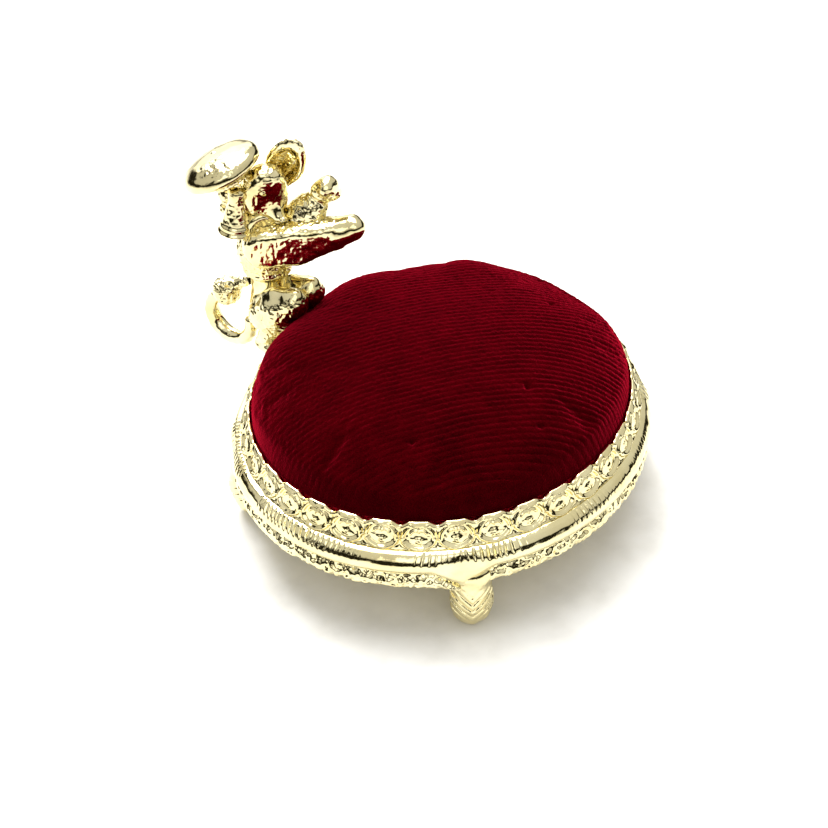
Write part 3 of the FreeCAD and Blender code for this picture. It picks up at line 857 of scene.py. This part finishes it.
def hind_leg_shape(points, side):
    """A full thigh with a smooth band over it, a thin hock and a small foot on the rim."""
    offset = -2.1 if side == "right" else 2.1
    hip = np.array((DOG_X + offset, 30.6, 21.2))
    stifle = np.array((DOG_X + offset * 0.95, 25.2, 25.0))
    heel_x = DOG_X + offset * 1.5
    thigh = chain(points, [(*hip, 3.0), (hip[0], 28.0, 23.0, 2.9), (*stifle, 2.3)], 1.2)
    ridge_line = chain(points, [(hip[0] - 0.3, 32.0, 23.6, 0.8), (hip[0] - 0.3, 28.4, 25.7, 1.0),
                                (stifle[0], 24.6, 26.7, 0.9)], 0.8)
    hock = chain(points, [(*stifle, 1.6), (DOG_X + offset * 1.3, 30.4, 17.6, 1.45),
                          (heel_x, 31.5, 15.9, 1.1)], 0.6)
    foot = chain(points, [(heel_x, 31.4, 15.5, 1.05), (DOG_X + offset * 1.55, 29.2, 15.3, 1.05)], 0.4)
    over_ridge = step_up(points[..., 2] + 0.40 * (points[..., 1] - 30), 23.4, 24.6)
    furry = join(thigh, hock, 0.5) + coat(points, 0.8) * (1 - over_ridge)
    body = join(join(furry, ridge_line, 0.9), foot, 0.3)
    return body - 0.03 * lumps(points, 1.0)


def tail_shape(points):
    """A smooth round tail that leaves the rump low and curls up to the pompom."""
    middle_x, middle_y, middle_z = -2.6, 38.9, 17.2
    reach, start, sweep, steps = 4.0, 172, 275, 16
    joints = []
    for k in range(steps + 1):
        share = k / steps
        turn = math.radians(start + sweep * share)
        thick = 1.0 + 0.35 * math.sin(math.pi * share) ** 2
        joints.append((middle_x - 0.4 * share, middle_y + reach * math.cos(turn),
                       middle_z + reach * math.sin(turn), thick))
    return chain(points, joints, 0.1) - 0.05 * lumps(points, 1.3)


def pompom_shape(points):
    """A ball of coat, with a lock that reaches back to the rump."""
    body = ball(points, (-3.0, 38.9, 22.3), 2.35)
    lock = limb(points, (-2.8, 38.0, 23.4), (-1.6, 34.6, 25.2), 1.1, 0.75)
    return join(body, lock, 0.7) + coat(points)


# the shape of each piece of the dog, and the spacing of the grid that it is sampled on
SCULPTS = {
    "poodle_torso": (torso_shape, 0.15),
    "poodle_head": (head_shape, 0.13),
    "poodle_beret": (beret_shape, 0.13),
    "ear_raised": (ear_raised_shape, 0.12),
    "ear_hanging": (ear_hanging_shape, 0.12),
    "foreleg_right": (foreleg_right_shape, 0.14),
    "foreleg_left": (foreleg_left_shape, 0.14),
    "hind_leg_right": (lambda points: hind_leg_shape(points, "right"), 0.14),
    "hind_leg_left": (lambda points: hind_leg_shape(points, "left"), 0.14),
    "tail_curl": (tail_shape, 0.13),
    "tail_pompom": (pompom_shape, 0.13),
}
ROOM = 1.6           # how far round its CAD box each sculpted piece may reach


def make_poodle():
    """One sculpted casting for each of the dog's nodes."""
    for name, (shape, step) in SCULPTS.items():
        low, high = box_mm(name)
        shift = np.array([CENTRE[0], CENTRE[1], 0])
        points, faces = sculpt(shape, low - shift - ROOM, high - shift + ROOM, step)
        mesh_piece(name + "_casting", points, faces, name, poodle_gilt)


make_ring()
make_gallery()
make_feet()
make_cushion()
make_poodle()


# ---------------------------------------------------------------- floor, lights and camera
FLOOR_HALF = 3.0     # metres
FLOOR_TONES = [(0.35, (0.82, 0.81, 0.785)), (0.5, (0.88, 0.87, 0.85)), (0.65, (0.91, 0.905, 0.89))]


def make_floor():
    low, high = -FLOOR_HALF, FLOOR_HALF
    mesh = bpy.data.meshes.new("floor")
    mesh.from_pydata([(low, low, 0), (high, low, 0), (high, high, 0), (low, high, 0)], [], [(0, 1, 2, 3)])
    floor = bpy.data.objects.new("floor", mesh)
    bpy.context.scene.collection.objects.link(floor)
    material, tree, shader = node_tree("pale_floor")
    speckle = noise_node(tree, 160.0, 8.0)
    tone = ramp(tree, speckle.outputs["Fac"], FLOOR_TONES)
    tree.links.new(tone.outputs["Color"], shader.inputs["Base Color"])
    shader.inputs["Roughness"].default_value = 0.7
    shader.inputs["Specular IOR Level"].default_value = 0.2
    floor.data.materials.append(material)


# The room that the polished metal mirrors. Its brightness goes by height, with a dark strip just over the
# horizon, and then come two dark cards and two bright ones, each round a direction, like a photographer's.
SKY_WOBBLE = 0.30
SKY = [(0.0, (0.45, 0.44, 0.40)), (0.03, (0.012, 0.01, 0.005)), (0.27, (0.02, 0.018, 0.01)),
       (0.31, (0.66, 0.65, 0.62)), (1.0, (0.86, 0.86, 0.84))]
BACKDROP = (0.80, 0.795, 0.77, 1)    # what shows past the floor instead, in low views
BLACK, WHITE = (0, 0, 0), (1, 1, 1)
# direction, colour by closeness to it, and how that joins the sky
SKY_PATCHES = [((0.10, 0.65, 0.75), [(0.93, WHITE), (0.95, (0.03, 0.025, 0.015))], "MULTIPLY"),
               ((-0.90, 0.20, 0.45), [(0.965, WHITE), (0.975, (0.04, 0.035, 0.02))], "MULTIPLY"),
               ((0.50, 0.66, 0.36), [(0.90, BLACK), (0.94, (1.6, 1.6, 1.55))], "ADD"),
               ((-0.62, -0.46, 0.63), [(0.955, BLACK), (0.975, (1.2, 1.2, 1.15))], "ADD")]


def make_world():
    """The room's light, with its edges wavered by noise so that no reflection is ruled straight."""
    world = bpy.data.worlds.new("studio")
    bpy.context.scene.world = world
    world.use_nodes = True
    tree = world.node_tree
    background = tree.nodes["Background"]
    coordinates = tree.nodes.new("ShaderNodeTexCoord")
    wobble = add(tree, "ShaderNodeTexNoise", Scale=4.0, Detail=3.0)
    tree.links.new(coordinates.outputs["Generated"], wobble.inputs["Vector"])
    centred = add(tree, "ShaderNodeVectorMath", operation="MULTIPLY_ADD")
    centred.inputs[1].default_value = (SKY_WOBBLE,) * 3
    tree.links.new(wobble.outputs["Color"], centred.inputs[0])
    tree.links.new(coordinates.outputs["Generated"], centred.inputs[2])
    moved = add(tree, "ShaderNodeVectorMath", operation="SUBTRACT")
    moved.inputs[1].default_value = (SKY_WOBBLE / 2,) * 3
    tree.links.new(centred.outputs["Vector"], moved.inputs[0])
    parts = tree.nodes.new("ShaderNodeSeparateXYZ")
    tree.links.new(moved.outputs["Vector"], parts.inputs["Vector"])
    light = ramp(tree, parts.outputs["Z"], SKY).outputs["Color"]
    for direction, stops, blend in SKY_PATCHES:
        towards = add(tree, "ShaderNodeVectorMath", operation="DOT_PRODUCT")
        towards.inputs[1].default_value = unit(direction)
        tree.links.new(moved.outputs["Vector"], towards.inputs[0])
        spot = ramp(tree, towards.outputs["Value"], stops)
        both = add(tree, "ShaderNodeMix", data_type="RGBA", blend_type=blend)
        both.inputs["Factor"].default_value = 1.0
        tree.links.new(light, both.inputs["A"])
        tree.links.new(spot.outputs["Color"], both.inputs["B"])
        light = both.outputs["Result"]
    rays = tree.nodes.new("ShaderNodeLightPath")
    seen = add(tree, "ShaderNodeMix", data_type="RGBA", blend_type="MIX")
    tree.links.new(rays.outputs["Is Camera Ray"], seen.inputs["Factor"])
    tree.links.new(light, seen.inputs["A"])
    seen.inputs["B"].default_value = BACKDROP
    tree.links.new(seen.outputs["Result"], background.inputs["Color"])
    background.inputs["Strength"].default_value = 1.0


def add_light(name, place, aim, size, power):
    """A rectangular lamp of the given size in metres and power in watts, turned to face its aim."""
    light = bpy.data.lights.new(name, "AREA")
    light.shape = "RECTANGLE"
    light.size, light.size_y = size
    light.energy = power
    lamp = bpy.data.objects.new(name, light)
    bpy.context.scene.collection.objects.link(lamp)
    lamp.location = place
    lamp.rotation_mode = "QUATERNION"
    lamp.rotation_quaternion = (Vector(aim) - Vector(place)).to_track_quat("-Z", "Y")


CAMERA_AIM = (-9.46, -1.74, 20.0)    # about the middle of the oval
CAMERA_DISTANCE = 198.93
CAMERA_AZIMUTH, CAMERA_ELEVATION, CAMERA_ROLL = -143.52, 39.09, -1.50
CAMERA_LENS = 60.87                  # on a sensor 36 mm wide


def make_camera():
    """From the front left of the stool, looking down over the cushion."""
    camera_data = bpy.data.cameras.new("camera")
    camera_data.sensor_width = 36.0
    camera_data.lens = CAMERA_LENS
    camera_data.clip_start = 0.01
    camera = bpy.data.objects.new("camera", camera_data)
    bpy.context.scene.collection.objects.link(camera)
    aim = Vector(CAMERA_AIM) + Vector((CENTRE[0], CENTRE[1], 0))
    turn = (Matrix.Rotation(math.radians(CAMERA_AZIMUTH + 90), 4, "Z")
            @ Matrix.Rotation(math.radians(90 - CAMERA_ELEVATION), 4, "X")
            @ Matrix.Rotation(math.radians(CAMERA_ROLL), 4, "Z"))
    back_off = Matrix.Translation((0, 0, CAMERA_DISTANCE * MM))
    camera.matrix_world = Matrix.Translation(aim * MM) @ turn @ back_off
    bpy.context.scene.camera = camera


make_floor()
make_world()
add_light("key", (0.11, 0.25, 0.42), (0, 0, 0.02), (0.30, 0.30), 2.4)
add_light("overhead", (0.12, 0.12, 0.6), (0, 0, 0), (0.5, 0.5), 2.9)
make_camera()
bpy.context.scene.view_settings.view_transform = "Standard"
